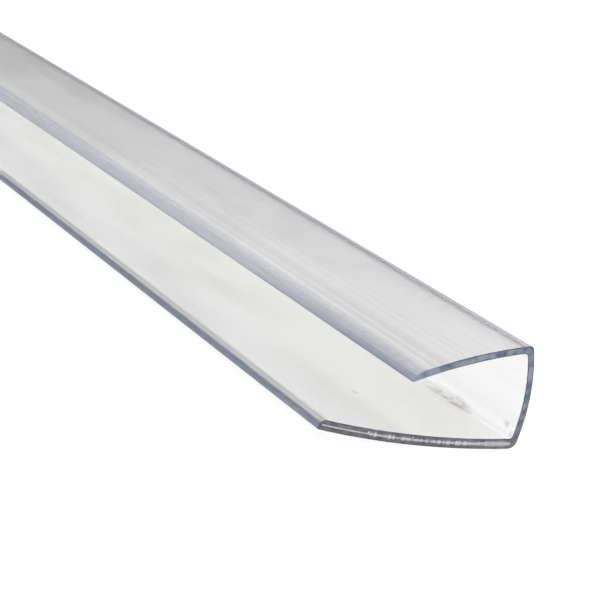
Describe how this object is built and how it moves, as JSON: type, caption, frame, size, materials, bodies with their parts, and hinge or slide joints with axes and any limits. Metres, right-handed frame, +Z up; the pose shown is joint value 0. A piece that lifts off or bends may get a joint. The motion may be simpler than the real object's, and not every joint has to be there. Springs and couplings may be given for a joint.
{
  "type": "polycarbonate u-profile",
  "caption": "Clear extruded U-profile with a long lower flange and a short toed-in upper flange, slipped over the edge of multiwall roofing sheet to close its cells",
  "frame": {"origin": "middle of the stock's length and width, on the surface it lies on", "axes": "+X along the stock, +Y towards the web (the channel opens towards -Y), +Z up"},
  "size_m": [1.05, 0.0286, 0.0136],
  "materials": {
    "clear_polycarbonate": "clear, faintly blue-grey, glossy with fine die lines"
  },
  "bodies": {
    "root": {"u_profile": "clear_polycarbonate"}
  },
  "joints": []
}
